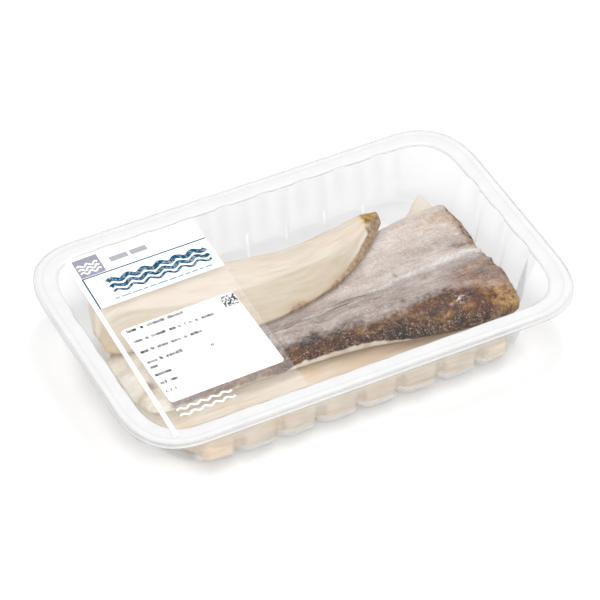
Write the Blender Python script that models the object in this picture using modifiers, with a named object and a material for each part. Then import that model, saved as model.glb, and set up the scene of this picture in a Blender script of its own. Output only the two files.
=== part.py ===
"""A clear sealed tray with three pieces of desalted cod, under a printed film with a price sticker.

Metres, +Z up. The origin is in the middle of the tray's footprint, on the plane that it stands on.
X runs along the tray's length and -Y faces the front, where the long fluted wall is seen.
"""
import bmesh
import bpy
from math import copysign, cos, hypot, pi, radians, sin

MM = 0.001
GAP = 0.3 * MM                   # air kept between pieces that touch

# Tray: outer size 241.6 x 154.8 mm, with a flat flange round a fluted basin
TRAY_HALF_LENGTH = 120.8 * MM
TRAY_HALF_WIDTH = 77.4 * MM
TRAY_WALL = 0.5 * MM
FLANGE_TOP = 36.7 * MM
FLANGE_WIDTH = 11.2 * MM
LIP_DROP = 2.2 * MM              # how far the flange's edge turns down
EDGE_ROUND = 0.6 * MM            # rounding of the flange's outer and inner edges
CORNER_SQUARENESS = 2.6          # 2 is round, more is squarer
LONG_LOBES = 8
LONG_LOBE_PITCH = 21.8 * MM
SHORT_LOBES = 3
SHORT_LOBE_PITCH = 25.0 * MM
CORNER_STEPS = 7
LOBE_FRACTIONS = (0.0, 0.12, 0.38, 0.62, 0.88)
RIB_BULGE = 2.0 * MM             # a lobe's rib stands out this far at the flange
RIB_SHARE = 0.5                  # of the lobe's width
LOBE_BULGE = 2.8 * MM            # the full lobe stands out this far at the foot of the wall
LOBE_FLATNESS = 4                # 2 is a round lobe, more is flatter with narrower grooves
WALL_DRAFT = 5.4 * MM            # the basin is this much narrower, each side, at the foot of the wall
WALL_DEPTHS = (0.03, 0.3, 0.65, 1.0)   # rings down the wall, from the flange to the foot
FOOT_HEIGHT = 8.0 * MM           # where the wall turns into the floor
FOOT_INSET = 5.0 * MM            # how far in it turns
FOOT_TURNS = (0.35, 0.7, 1.0)    # rings round the turn
FOOT_CORNER = (70.0 * MM, 31.0 * MM)   # centre from which the foot's own rounder corners are swung
FOOT_CORNER_RADIUS = 31.5 * MM

# Film and sticker
FILM_THICKNESS = 0.3 * MM
FILM_INSET = 1.4 * MM            # bare flange outside the film
STICKER_LENGTH = 60.6 * MM
STICKER_WIDTH = 55.0 * MM
STICKER_THICKNESS = 0.2 * MM
STICKER_CENTRE = (-64.5 * MM, -20.3 * MM)
STICKER_TURN = radians(1.1)
STICKER_CORNER = 2.0 * MM
STICKER_CORNER_STEPS = 3

# Fish: each layer's flat underside
LOWER_FLOOR = 0.8 * MM
SKIN_FLOOR = 22.4 * MM
TOP_FLOOR = 26.5 * MM
LOWER_UNDERCUT = 6.5 * MM        # how far the underside's rim is drawn in, to sit in the basin
UPPER_UNDERCUT = 1.0 * MM
UNDERCUT_RUN = 22.0 * MM         # length over which the drawn-in ends fade out
SIDE_STEPS = (0.0, 0.2, 0.5)     # heights of the side's points, as shares of the edge's height
SIDE_TUCK = 0.8                  # share of the edge's height over which the side draws in
TOP_COUNT = 12                   # spaces across the rounded upper side of a section
STATION_COUNT = 24               # spaces between the sections along a fillet
END_CROWDING = 0.55              # how much closer together the sections are at the ends
SIDE_ROUND = 2.2                 # roundness of the shoulders, as in a superellipse
FLAP_EDGE_DROP = 0.5             # share of its thickness that a flap loses at its edge
FLAP_EDGE_SHARPNESS = 6          # how late it loses it

# Looks of the slots: colour, roughness and alpha
TRAY_LOOK = ((0.93, 0.95, 0.96), 0.08, 0.25)
FILM_LOOK = ((0.97, 0.97, 0.97), 0.1, 0.3)
PAPER_LOOK = ((0.95, 0.95, 0.95), 0.45, 1.0)
FLESH_LOOK = ((0.78, 0.70, 0.58), 0.42, 1.0)
SKIN_LOOK = ((0.36, 0.28, 0.22), 0.38, 1.0)


def principled(name, colour, roughness, alpha):
    """Make a material with a plain Principled finish."""
    material = bpy.data.materials.new(name)
    material.use_nodes = True
    shader = material.node_tree.nodes["Principled BSDF"]
    shader.inputs["Base Color"].default_value = (*colour, 1.0)
    shader.inputs["Roughness"].default_value = roughness
    shader.inputs["Metallic"].default_value = 0.0
    shader.inputs["Alpha"].default_value = alpha
    return material


def link_mesh(name, bm, collection, material):
    """Turn a bmesh into a named object of the collection."""
    mesh = bpy.data.meshes.new(name)
    bm.to_mesh(mesh)
    bm.free()
    mesh.materials.append(material)
    part = bpy.data.objects.new(name, mesh)
    collection.objects.link(part)
    return part


# --- Tray ---------------------------------------------------------------------------------------

def side_samples(lobes, pitch):
    """Places along one straight side, as (distance from its middle, place within the lobe)."""
    start = -lobes * pitch / 2
    return [(start + (lobe + place) * pitch, place) for lobe in range(lobes) for place in LOBE_FRACTIONS]


def squircle(angle):
    """A unit quarter of a superellipse at the angle."""
    power = 2 / CORNER_SQUARENESS
    return abs(cos(angle)) ** power, abs(sin(angle)) ** power


def outline_samples():
    """Walk once round the basin, anticlockwise from the front left.

    Each sample is (core point, outward direction, place within its lobe or None at a corner). The
    core is the line from which the corners are swung, so core + direction * reach is on any outline.
    """
    core_x = LONG_LOBES * LONG_LOBE_PITCH / 2
    core_y = SHORT_LOBES * SHORT_LOBE_PITCH / 2
    samples = []
    for quarter in range(4):
        along_x = quarter % 2 == 0
        lobes, pitch = (LONG_LOBES, LONG_LOBE_PITCH) if along_x else (SHORT_LOBES, SHORT_LOBE_PITCH)
        heading = (1, 1, -1, -1)[quarter]
        for distance, place in side_samples(lobes, pitch):
            if along_x:
                samples.append(((heading * distance, -heading * core_y), (0, -heading), place))
            else:
                samples.append(((heading * core_x, heading * distance), (heading, 0), place))
        corner_x = core_x * (1, 1, -1, -1)[quarter]
        corner_y = core_y * (-1, 1, 1, -1)[quarter]
        for step in range(CORNER_STEPS):
            swing = step / CORNER_STEPS * pi / 2
            near, far = squircle(swing)
            reach_x, reach_y = (far, near) if along_x else (near, far)
            direction = (reach_x * (1, 1, -1, -1)[quarter], reach_y * (-1, 1, 1, -1)[quarter])
            samples.append(((corner_x, corner_y), direction, None))
    return samples


def outline_point(sample, inset):
    """The sample's point on the tray's outer edge, moved inwards by the inset."""
    (x, y), (dx, dy), _ = sample
    reach_x = TRAY_HALF_LENGTH - LONG_LOBES * LONG_LOBE_PITCH / 2 - inset
    reach_y = TRAY_HALF_WIDTH - SHORT_LOBES * SHORT_LOBE_PITCH / 2 - inset
    return x + dx * reach_x, y + dy * reach_y


def lobe_bulge(place, depth):
    """How far the wall stands out at a place within a lobe, 0 deep in the groove beside it.

    Near the flange (depth 0) a lobe is a narrow rib, and towards the floor (depth 1) it fills the pitch.
    """
    if place is None:
        return 0.0
    across = abs(2 * place - 1)
    rib = max(0.0, 1 - (across / RIB_SHARE) ** 2)
    lobe = 1 - across ** LOBE_FLATNESS
    return (1 - depth) * RIB_BULGE * rib + depth * LOBE_BULGE * lobe


def rounded_corner(x, y, inset, depth):
    """Pull a corner point in to the foot's larger radius, the more the deeper it is."""
    away_x = abs(x) - FOOT_CORNER[0]
    away_y = abs(y) - FOOT_CORNER[1]
    radius = FOOT_CORNER_RADIUS - (inset - FLANGE_WIDTH - WALL_DRAFT * depth)
    distance = hypot(away_x, away_y)
    if min(away_x, away_y) <= 0 or distance <= radius:
        return x, y
    pull = 1 + (radius / distance - 1) * depth
    new_x = FOOT_CORNER[0] + away_x * pull
    new_y = FOOT_CORNER[1] + away_y * pull
    return copysign(new_x, x), copysign(new_y, y)


def wall_rings():
    """Rings down the tray's upper face: (inset from the outer edge, height, depth down the wall)."""
    rings = [
        (0.0, FLANGE_TOP - LIP_DROP, None),
        (0.0, FLANGE_TOP - EDGE_ROUND, None),
        (EDGE_ROUND, FLANGE_TOP, None),
        (FLANGE_WIDTH - EDGE_ROUND, FLANGE_TOP, None),
    ]
    wall_height = FLANGE_TOP - FOOT_HEIGHT
    for depth in WALL_DEPTHS:
        rings.append((FLANGE_WIDTH + WALL_DRAFT * depth, FLANGE_TOP - wall_height * depth, depth))
    foot = FLANGE_WIDTH + WALL_DRAFT
    drop = FOOT_HEIGHT - TRAY_WALL
    for turn in FOOT_TURNS:
        angle = turn * pi / 2
        rings.append((foot + FOOT_INSET * (1 - cos(angle)), FOOT_HEIGHT - drop * sin(angle), 1.0))
    return rings


def build_tray(collection):
    """The tray's upper face as one open surface, given its wall by Solidify."""
    bm = bmesh.new()
    samples = outline_samples()
    loops = []
    for inset, height, depth in wall_rings():
        loop = []
        for sample in samples:
            if depth is None:
                x, y = outline_point(sample, inset)
            else:
                x, y = outline_point(sample, inset - lobe_bulge(sample[2], depth))
                x, y = rounded_corner(x, y, inset, depth)
            loop.append(bm.verts.new((x, y, height)))
        loops.append(loop)
    for outer, inner in zip(loops, loops[1:]):
        for a in range(len(samples)):
            b = (a + 1) % len(samples)
            bm.faces.new((outer[a], outer[b], inner[b], inner[a]))
    bm.faces.new(loops[-1])
    tray = link_mesh("tray", bm, collection, principled("clear_tray", *TRAY_LOOK))
    solidify = tray.modifiers.new("wall", "SOLIDIFY")
    solidify.thickness = TRAY_WALL
    solidify.offset = -1.0
    tray.data.shade_smooth()
    return tray


# --- Film and sticker ---------------------------------------------------------------------------

def flat_plate(name, outline, bottom, thickness, collection, material):
    """A flat plate of the outline, with its lower face at the height given."""
    bm = bmesh.new()
    bm.faces.new([bm.verts.new((x, y, bottom)) for x, y in outline])
    plate = link_mesh(name, bm, collection, material)
    solidify = plate.modifiers.new("thickness", "SOLIDIFY")
    solidify.thickness = thickness
    solidify.offset = 1.0
    return plate


def build_film(collection):
    """The lid film, sealed on the flange."""
    samples = [sample for sample in outline_samples() if sample[2] is None or sample[2] == 0.0]
    outline = [outline_point(sample, FILM_INSET) for sample in samples]
    film = principled("lid_film", *FILM_LOOK)
    return flat_plate("lid_film", outline, FLANGE_TOP + GAP, FILM_THICKNESS, collection, film)


def sticker_outline():
    """A rectangle with round corners, turned a little askew."""
    half_x = STICKER_LENGTH / 2 - STICKER_CORNER
    half_y = STICKER_WIDTH / 2 - STICKER_CORNER
    points = []
    for corner, (sx, sy) in enumerate(((1, 1), (-1, 1), (-1, -1), (1, -1))):
        for step in range(STICKER_CORNER_STEPS + 1):
            angle = (corner + step / STICKER_CORNER_STEPS) * pi / 2
            x = sx * half_x + STICKER_CORNER * cos(angle)
            y = sy * half_y + STICKER_CORNER * sin(angle)
            turned_x = x * cos(STICKER_TURN) - y * sin(STICKER_TURN)
            turned_y = x * sin(STICKER_TURN) + y * cos(STICKER_TURN)
            points.append((STICKER_CENTRE[0] + turned_x, STICKER_CENTRE[1] + turned_y))
    return points


def build_sticker(collection):
    """The white price sticker on the film."""
    bottom = FLANGE_TOP + GAP + FILM_THICKNESS + GAP
    paper = principled("sticker_paper", *PAPER_LOOK)
    return flat_plate("price_sticker", sticker_outline(), bottom, STICKER_THICKNESS, collection, paper)


# --- Fish ---------------------------------------------------------------------------------------

# A fillet is a loft of sections across X. A station says where the fillet is at one X, in mm:
# (x, front edge y, back edge y, crown height above the underside, crown y, front edge's height,
# back edge's height).

LOWER_STATIONS = (
    (-100.3, -32.0, 6.0, 15.0, -14.0, 8.0, 8.0),
    (-96.5, -43.0, 25.0, 19.5, -10.0, 8.0, 9.0),
    (-78.0, -55.0, 42.0, 21.0, -7.0, 9.0, 9.0),
    (-50.0, -58.0, 42.0, 21.2, -10.0, 10.0, 9.0),
    (20.0, -58.5, 38.0, 21.2, -15.0, 12.0, 8.0),
    (60.0, -57.5, 33.0, 21.2, -14.0, 12.0, 10.0),
    (74.0, -56.5, 35.5, 21.2, -12.0, 11.0, 14.0),
    (90.0, -50.5, 46.5, 20.8, -8.0, 10.0, 19.0),
    (92.6, -45.0, 43.5, 19.0, -6.0, 8.0, 15.0),
)
TOP_STATIONS = (
    (-103.0, 5.0, 22.0, 5.0, 14.0, 2.5, 3.0),
    (-98.0, 1.5, 38.5, 7.2, 20.0, 2.5, 4.0),
    (-88.0, 0.0, 46.5, 8.4, 22.0, 2.5, 4.5),
    (-60.0, -7.0, 42.0, 8.8, 12.0, 2.5, 5.0),
    (-25.0, -11.0, 33.5, 9.0, 9.0, 2.5, 5.0),
    (5.0, -6.5, 29.0, 9.0, 10.5, 2.5, 5.0),
    (30.0, 3.8, 31.5, 9.0, 14.5, 2.5, 5.0),
    (48.0, 17.6, 34.0, 8.6, 24.0, 2.5, 5.0),
    (57.0, 26.8, 33.5, 6.5, 30.5, 2.5, 3.5),
)
# The skin-up piece has one more column: y behind which only its thin belly flap is left.
SKIN_STATIONS = (
    (-104.0, -27.0, 3.0, 4.0, -13.0, 2.0, 2.4, -2.0),
    (-100.0, -37.0, 8.0, 6.8, -18.0, 2.2, 2.8, -2.0),
    (-90.0, -40.5, 14.0, 8.2, -24.0, 2.2, 3.2, -2.0),
    (-40.0, -41.0, 20.0, 9.5, -27.0, 2.5, 3.4, -12.0),
    (10.0, -44.0, 22.0, 10.5, -31.0, 3.0, 3.4, -6.0),
    (45.0, -51.5, 26.0, 11.0, -37.0, 3.0, 3.4, 4.0),
    (75.0, -56.0, 30.5, 10.8, -40.0, 3.0, 3.4, 10.0),
    (91.0, -54.0, 31.0, 9.0, -37.0, 3.0, 3.2, 6.0),
    (95.0, -47.0, 30.5, 7.0, -30.0, 2.0, 3.0, 2.0),
)


def station_at(stations, x):
    """The station at any x, on smooth curves through the ones given."""
    last = len(stations) - 2
    index = next((i for i in range(last + 1) if x <= stations[i + 1][0]), last)
    before = stations[max(index - 1, 0)]
    start = stations[index]
    end = stations[index + 1]
    after = stations[min(index + 2, last + 1)]
    span = end[0] - start[0]
    t = (x - start[0]) / span
    values = []
    for column in range(1, len(start)):
        slope_in = (end[column] - before[column]) / (end[0] - before[0]) * span
        slope_out = (after[column] - start[column]) / (after[0] - start[0]) * span
        values.append(hermite(start[column], end[column], slope_in, slope_out, t))
    return values


def hermite(start, end, slope_in, slope_out, t):
    """A cubic from start to end with the slopes given."""
    rise = t * t * (3 - 2 * t)
    return (
        start * (1 - rise)
        + end * rise
        + slope_in * t * (1 - t) ** 2
        - slope_out * t * t * (1 - t)
    )


def height_at(y, values):
    """Height of the fillet's upper side above its flat underside, in mm."""
    front, back, crown, crown_y, front_edge, back_edge, *flap = values
    if y < crown_y:
        away = (crown_y - y) / (crown_y - front)
        return front_edge + (crown - front_edge) * shoulder(away)
    if not flap:
        away = (y - crown_y) / (back - crown_y)
        return back_edge + (crown - back_edge) * shoulder(away)
    flap_y = flap[0]
    if y < flap_y:
        fall = (1 - cos((y - crown_y) / (flap_y - crown_y) * pi)) / 2
        return crown + (back_edge - crown) * fall
    outward = (y - flap_y) / (back - flap_y)
    return back_edge * (1 - FLAP_EDGE_DROP * outward ** FLAP_EDGE_SHARPNESS)


def shoulder(away):
    """A round shoulder, from 1 at the crown to 0 at the edge."""
    return max(0.0, 1 - away ** SIDE_ROUND) ** (1 / SIDE_ROUND)


def side_points(y, inward, edge_height, floor, undercut):
    """One side's points as (y, z, how far drawn in), from the underside up."""
    points = []
    for share in SIDE_STEPS:
        inset = undercut * (1 - share / SIDE_TUCK) ** 2
        points.append((y * MM + inward * inset, floor + edge_height * MM * share, inset))
    return points


def section(values, floor, undercut):
    """A section's points as (y, z, how far drawn in), over the crown from front to back."""
    front, back = values[:2]
    points = side_points(front, 1, height_at(front, values), floor, undercut)
    for step in range(TOP_COUNT + 1):
        t = (1 - cos(step / TOP_COUNT * pi)) / 2
        y = front + (back - front) * t
        points.append((y * MM, floor + height_at(y, values) * MM, 0.0))
    points += reversed(side_points(back, -1, height_at(back, values), floor, undercut))
    return points


def station_places(stations):
    """X of each section, closer together towards both ends."""
    first, last = stations[0][0], stations[-1][0]
    middle = (first + last) / 2
    half = (last - first) / 2
    places = []
    for step in range(STATION_COUNT + 1):
        even = 2 * step / STATION_COUNT - 1
        crowded = sin(even * pi / 2)
        places.append(middle + half * (even + (crowded - even) * END_CROWDING))
    return places


def drawn_in(x, inset, ends):
    """X of a point whose ends are drawn in by the inset, less and less away from them."""
    first, last = ends[0] * MM, ends[1] * MM
    near_first = max(0.0, 1 - (x - first) / UNDERCUT_RUN)
    near_last = max(0.0, 1 - (last - x) / UNDERCUT_RUN)
    return x + inset * (near_first - near_last)


def build_fillet(name, stations, floor, undercut, collection, material):
    """Loft a fillet through its stations, with cut ends."""
    bm = bmesh.new()
    ends = stations[0][0], stations[-1][0]
    rows = []
    for x in station_places(stations):
        row = []
        for y, z, inset in section(station_at(stations, x), floor, undercut):
            row.append(bm.verts.new((drawn_in(x * MM, inset, ends), y, z)))
        rows.append(row)
    count = len(rows[0])
    for near, far in zip(rows, rows[1:]):
        for a in range(count):
            b = (a + 1) % count
            bm.faces.new((near[a], near[b], far[b], far[a]))
    bm.faces.new(reversed(rows[0]))
    bm.faces.new(rows[-1])
    bmesh.ops.recalc_face_normals(bm, faces=bm.faces)
    fillet = link_mesh(name, bm, collection, material)
    fillet.data.shade_smooth()
    return fillet


def build_fish(collection):
    """The lower piece, the skin-up piece on it and the strip on top."""
    flesh = principled("cod_flesh", *FLESH_LOOK)
    skin = principled("cod_skin", *SKIN_LOOK)
    build_fillet("cod_lower", LOWER_STATIONS, LOWER_FLOOR, LOWER_UNDERCUT, collection, flesh)
    build_fillet("cod_skin_up", SKIN_STATIONS, SKIN_FLOOR, UPPER_UNDERCUT, collection, skin)
    build_fillet("cod_top", TOP_STATIONS, TOP_FLOOR, UPPER_UNDERCUT, collection, flesh)


def clear_scene():
    """Start from an empty file."""
    for thing in list(bpy.data.objects):
        bpy.data.objects.remove(thing, do_unlink=True)


def main():
    clear_scene()
    pack = bpy.data.collections.new("desalted_cod_pack")
    bpy.context.scene.collection.children.link(pack)
    build_tray(pack)
    build_film(pack)
    build_sticker(pack)
    build_fish(pack)


main()
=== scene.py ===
"""The looks of a tray pack of desalted cod: clear fluted tray, printed lid film, sticker and fish.

Sizes and places are in millimetres in the pack's own frame: X along the tray, -Y to the front, Z up.
"""
from math import cos, hypot, pi, radians, sin

import bmesh
import bpy
import numpy as np
from mathutils import Matrix, Vector


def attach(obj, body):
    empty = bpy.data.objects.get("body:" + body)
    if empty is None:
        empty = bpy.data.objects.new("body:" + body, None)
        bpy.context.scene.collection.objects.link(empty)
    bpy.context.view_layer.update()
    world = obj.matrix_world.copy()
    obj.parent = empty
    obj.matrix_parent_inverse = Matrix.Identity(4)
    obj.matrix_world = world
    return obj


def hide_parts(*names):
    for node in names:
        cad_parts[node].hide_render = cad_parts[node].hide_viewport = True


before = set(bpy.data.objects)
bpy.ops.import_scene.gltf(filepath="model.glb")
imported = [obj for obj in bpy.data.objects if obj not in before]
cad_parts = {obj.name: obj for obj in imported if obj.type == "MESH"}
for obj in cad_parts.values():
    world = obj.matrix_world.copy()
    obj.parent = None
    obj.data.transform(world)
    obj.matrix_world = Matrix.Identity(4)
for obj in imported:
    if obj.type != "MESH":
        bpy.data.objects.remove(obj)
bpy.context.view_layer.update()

MM = 0.001
ROOT = "root"


# --- Camera, light and floor --------------------------------------------------------------------

CAMERA_TURN = radians(26.95)         # the camera stands this far round towards -X from the front
CAMERA_RISE = radians(43.14)
CAMERA_DISTANCE = 1737.6
CAMERA_LENS = 213.4                  # on a 36 mm sensor
RIM_CENTRE = Vector((0.0, 0.0, 37.0))
AIM_RIGHT = -1.46                    # what the camera aims at, from the rim's centre
AIM_UP = -9.94

SKY_LOW, SKY_HIGH = 0.57, 1.46       # brightness of the surroundings at the horizon and overhead
# Soft lights: name, direction from the pack, distance, size, power, and whether it casts shadows
LIGHTS = (
    ("key", Vector((0.22, 0.20, 0.95)), 1150.0, 420.0, 2.4, True),
    ("fill", Vector((-0.18, -0.92, 0.36)), 1100.0, 700.0, 4.2, False),
)
FLOOR_SIZE = 6000.0
FLOOR_COLOUR = (0.87, 0.87, 0.87, 1.0)
CLEAR_LAYERS = 24                    # how many see-through surfaces a ray may pass
LIGHT_LEVEL = 1.19                   # how much brighter than its own colour a lit surface looks
PRINT_LEVEL = 1.33                   # the same for print, which lies open on the film
HAZE = 0.035                         # light that gloss and the film add over every surface
DARKEST = 0.004                      # no surface is darker than this
WHITE = (1.0, 1.0, 1.0, 1.0)


def aim(thing, place, target):
    """Put a camera or light at a place, looking at the target."""
    turn = (target - place).to_track_quat("-Z", "Y").to_matrix().to_4x4()
    thing.matrix_world = Matrix.Translation(place * MM) @ turn


def make_camera():
    back = Vector((-sin(CAMERA_TURN), -cos(CAMERA_TURN), 0.0))
    right = Vector((cos(CAMERA_TURN), -sin(CAMERA_TURN), 0.0))
    outward = back * cos(CAMERA_RISE) + Vector((0.0, 0.0, 1.0)) * sin(CAMERA_RISE)
    target = RIM_CENTRE + right * AIM_RIGHT + outward.cross(right) * AIM_UP
    data = bpy.data.cameras.new("camera")
    data.lens = CAMERA_LENS
    data.clip_start = 0.01
    data.clip_end = 20.0
    camera = bpy.data.objects.new("camera", data)
    bpy.context.scene.collection.objects.link(camera)
    aim(camera, target + outward * CAMERA_DISTANCE, target)
    bpy.context.scene.camera = camera


def make_light(name, direction, distance, size, power, shadows):
    data = bpy.data.lights.new(name, "AREA")
    data.shape = "SQUARE"
    data.size = size * MM
    data.energy = power
    data.use_shadow = shadows
    light = bpy.data.objects.new(name, data)
    bpy.context.scene.collection.objects.link(light)
    aim(light, RIM_CENTRE + direction.normalized() * distance, RIM_CENTRE)


def make_studio():
    scene = bpy.context.scene
    scene.view_settings.view_transform = "Standard"
    scene.cycles.transparent_max_bounces = CLEAR_LAYERS
    world = bpy.data.worlds.new("studio")
    world.use_nodes = True
    tree = world.node_tree
    background = tree.nodes["Background"]
    background.inputs["Color"].default_value = WHITE
    upward = add(tree, "SeparateXYZ", {"Vector": add(tree, "TexCoord").outputs["Generated"]})
    brightness = remap(tree, upward.outputs["Z"], SKY_LOW, SKY_HIGH)
    tree.links.new(brightness, background.inputs["Strength"])
    scene.world = world
    for settings in LIGHTS:
        make_light(*settings)
    bm = bmesh.new()
    bmesh.ops.create_grid(bm, x_segments=2, y_segments=2, size=FLOOR_SIZE / 2 * MM)
    mesh = bpy.data.meshes.new("floor")
    bm.to_mesh(mesh)
    bm.free()
    material = bpy.data.materials.new("floor")
    material.use_nodes = True
    shader = material.node_tree.nodes["Principled BSDF"]
    shader.inputs["Base Color"].default_value = FLOOR_COLOUR
    shader.inputs["Roughness"].default_value = 1.0
    shader.inputs["Specular IOR Level"].default_value = 0.0
    mesh.materials.append(material)
    floor = bpy.data.objects.new("floor", mesh)
    scene.collection.objects.link(floor)


# --- Fields of noise ----------------------------------------------------------------------------

OCTAVES = 4
CELL_JITTER = 0.8                    # how far a cell's centre may wander, as a share of the cell


def chance(column, row, seed):
    """A fixed number from 0 to 1 for each cell of a lattice."""
    mixed = (column * 374761393 + row * 668265263 + seed * 974634777) & 0xFFFFFFFF
    mixed = ((mixed ^ (mixed >> 13)) * 1274126177) & 0xFFFFFFFF
    return ((mixed ^ (mixed >> 16)) & 0xFFFF) / 65535.0


def waves(x, y, seed):
    """Smooth noise from -1 to 1 with features about one unit across."""
    column, row = np.floor(x).astype(np.int64), np.floor(y).astype(np.int64)
    right, up = x - column, y - row
    right, up = right * right * (3 - 2 * right), up * up * (3 - 2 * up)
    low = chance(column, row, seed) * (1 - right) + chance(column + 1, row, seed) * right
    high = chance(column, row + 1, seed) * (1 - right) + chance(column + 1, row + 1, seed) * right
    return 2 * (low * (1 - up) + high * up) - 1


def rough_waves(x, y, seed):
    """Noise with finer and finer detail, about -1 to 1."""
    total, size = 0.0, 1.0
    for octave in range(OCTAVES):
        total = total + waves(x * 2 ** octave, y * 2 ** octave, seed + octave) * size
        size *= 0.5
    return total / (2 - 2 * size)


def cells(x, y, seed):
    """Unit cells round jittered centres: distance to the nearest, how much nearer it is than the
    next, and its own chance number."""
    column, row = np.floor(x).astype(np.int64), np.floor(y).astype(np.int64)
    nearest = np.full(x.shape, 9.0)
    second = np.full(x.shape, 9.0)
    own = np.zeros(x.shape)
    for i in (-1, 0, 1):
        for j in (-1, 0, 1):
            centre_x = column + i + 0.5 + (chance(column + i, row + j, seed) - 0.5) * CELL_JITTER
            centre_y = row + j + 0.5 + (chance(column + i, row + j, seed + 7) - 0.5) * CELL_JITTER
            distance = np.hypot(x - centre_x, y - centre_y)
            closer = distance < nearest
            second = np.where(closer, nearest, np.minimum(second, distance))
            own = np.where(closer, chance(column + i, row + j, seed + 13), own)
            nearest = np.where(closer, distance, nearest)
    return nearest, second - nearest, own


def unit(value):
    """The value kept between 0 and 1."""
    return np.clip(value, 0.0, 1.0)


def step_up(low, high, value):
    """0 below low, 1 above high, smooth between; the other way round if low is the larger."""
    t = unit((value - low) / (high - low))
    return t * t * (3 - 2 * t)


def bell(distance, width):
    """1 at no distance, fading to 0 about one width away."""
    return np.exp(-(distance / width) ** 2)


def spot(x, y, at_x, at_y, reach_x, reach_y):
    """1 at a place, fading to 0 about one reach away from it."""
    return np.exp(-((x - at_x) / reach_x) ** 2 - ((y - at_y) / reach_y) ** 2)


def spots(x, y, marks):
    """Spots added up. A mark is (strength, x, y, reach along x, reach along y)."""
    return sum(strength * spot(x, y, *shape) for strength, *shape in marks)


# --- Materials ----------------------------------------------------------------------------------

# The sockets of a Mix node that mixes colours
MIX_FACTOR, MIX_FIRST, MIX_SECOND, MIX_RESULT = 0, 6, 7, 2


def srgb(red, green, blue):
    """A colour given on screen, 0 to 255, as linear light by the sRGB standard's numbers."""
    linear = []
    for value in (red, green, blue):
        value /= 255
        linear.append(value / 12.92 if value <= 0.04045 else ((value + 0.055) / 1.055) ** 2.4)
    return (*linear, 1.0)


def seen(red, green, blue):
    """The colour of a surface that looks like this on screen in the studio's light."""
    light = (max(DARKEST, (value - HAZE) / LIGHT_LEVEL) for value in srgb(red, green, blue)[:3])
    return (*light, 1.0)


def new_tree(name):
    """A material with an empty node tree."""
    material = bpy.data.materials.new(name)
    material.use_nodes = True
    material.node_tree.nodes.clear()
    return material, material.node_tree


def add(tree, kind, inputs=None, **settings):
    """Add a node. An input is given a number, a colour or another node's socket."""
    node = tree.nodes.new("ShaderNode" + kind)
    for key, value in settings.items():
        setattr(node, key, value)
    for key, value in (inputs or {}).items():
        if isinstance(value, bpy.types.NodeSocket):
            tree.links.new(value, node.inputs[key])
        else:
            node.inputs[key].default_value = value
    return node


def mesh_field(tree, name):
    """A field of the mesh as one vector."""
    return add(tree, "Attribute", attribute_name=name).outputs["Vector"]


def three_fields(tree, name):
    """Three fields of the mesh, which share an attribute, as separate sockets."""
    split = add(tree, "SeparateXYZ", {"Vector": mesh_field(tree, name)})
    return [split.outputs[axis] for axis in "XYZ"]


def math(tree, operation, first, second=0.0, clamp=False):
    node = add(tree, "Math", {0: first, 1: second}, operation=operation, use_clamp=clamp)
    return node.outputs["Value"]


def times(tree, first, second):
    return math(tree, "MULTIPLY", first, second)


def remap(tree, value, low, high, start=0.0):
    """A number that goes from low to high as the value goes from the start to 1."""
    node = add(tree, "MapRange", {"Value": value, "From Min": start, "To Min": low, "To Max": high})
    return node.outputs["Result"]


def blend(tree, share, first, second):
    """Mix two colours: the first where the share is 0, the second where it is 1."""
    inputs = {MIX_FACTOR: share, MIX_FIRST: first, MIX_SECOND: second}
    return add(tree, "Mix", inputs, data_type="RGBA").outputs[MIX_RESULT]


def layered(tree, base, *layers):
    """Lay colours over the base in turn. A layer is (share, strength, colour), and its colour is a
    socket or (red, green, blue) on screen."""
    for share, strength, colour in layers:
        if strength != 1:
            share = times(tree, share, strength)
        if isinstance(colour, tuple):
            colour = seen(*colour)
        base = blend(tree, share, base, colour)
    return base


def ramp(tree, factor, stops):
    """A colour ramp over (place, colour) stops."""
    node = add(tree, "ValToRGB", {"Fac": factor})
    elements = node.color_ramp.elements
    while len(elements) < len(stops):
        elements.new(0.5)
    for element, (place, colour) in zip(elements, stops):
        element.position = place
        element.color = colour
    return node.outputs["Color"]


def tones(tree, factor, *stops):
    """A ramp over (place, red, green, blue) stops, as seen on screen."""
    return ramp(tree, factor, [(at, seen(*colour)) for at, *colour in stops])


def levels(tree, factor, *stops):
    """A ramp over (place, level) stops, for a share."""
    return ramp(tree, factor, [(at, (level, level, level, 1.0)) for at, level in stops])


def noise(tree, vector, scale, detail=4.0, roughness=0.6):
    inputs = {"Vector": vector, "Scale": scale, "Detail": detail, "Roughness": roughness}
    return add(tree, "TexNoise", inputs).outputs["Fac"]


def stretch(tree, vector, scale):
    """Scale a vector unevenly."""
    return add(tree, "Mapping", {"Vector": vector, "Scale": scale}).outputs["Vector"]


def streaked(tree, vector, scale, detail, roughness=0.6):
    """Noise that is scaled unevenly."""
    return noise(tree, stretch(tree, vector, scale), 1.0, detail, roughness)


def place(tree):
    """Where a point is on the object, in metres."""
    return add(tree, "TexCoord").outputs["Object"]


def bumped(tree, height, strength, distance):
    """The way a surface with small bumps faces."""
    inputs = {"Height": height, "Strength": strength, "Distance": distance}
    return add(tree, "Bump", inputs).outputs["Normal"]


def principled(tree, inputs):
    return add(tree, "BsdfPrincipled", inputs).outputs["BSDF"]


def see_through(tree, share, colour, cover):
    """Clear sheet of a colour, with a share of the cover's shader."""
    clear = add(tree, "BsdfTransparent", {"Color": colour}).outputs["BSDF"]
    return add(tree, "MixShader", {0: share, 1: clear, 2: cover}).outputs["Shader"]


def finish(tree, shader):
    add(tree, "OutputMaterial", {"Surface": shader})


# --- Making pieces ------------------------------------------------------------------------------

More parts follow.
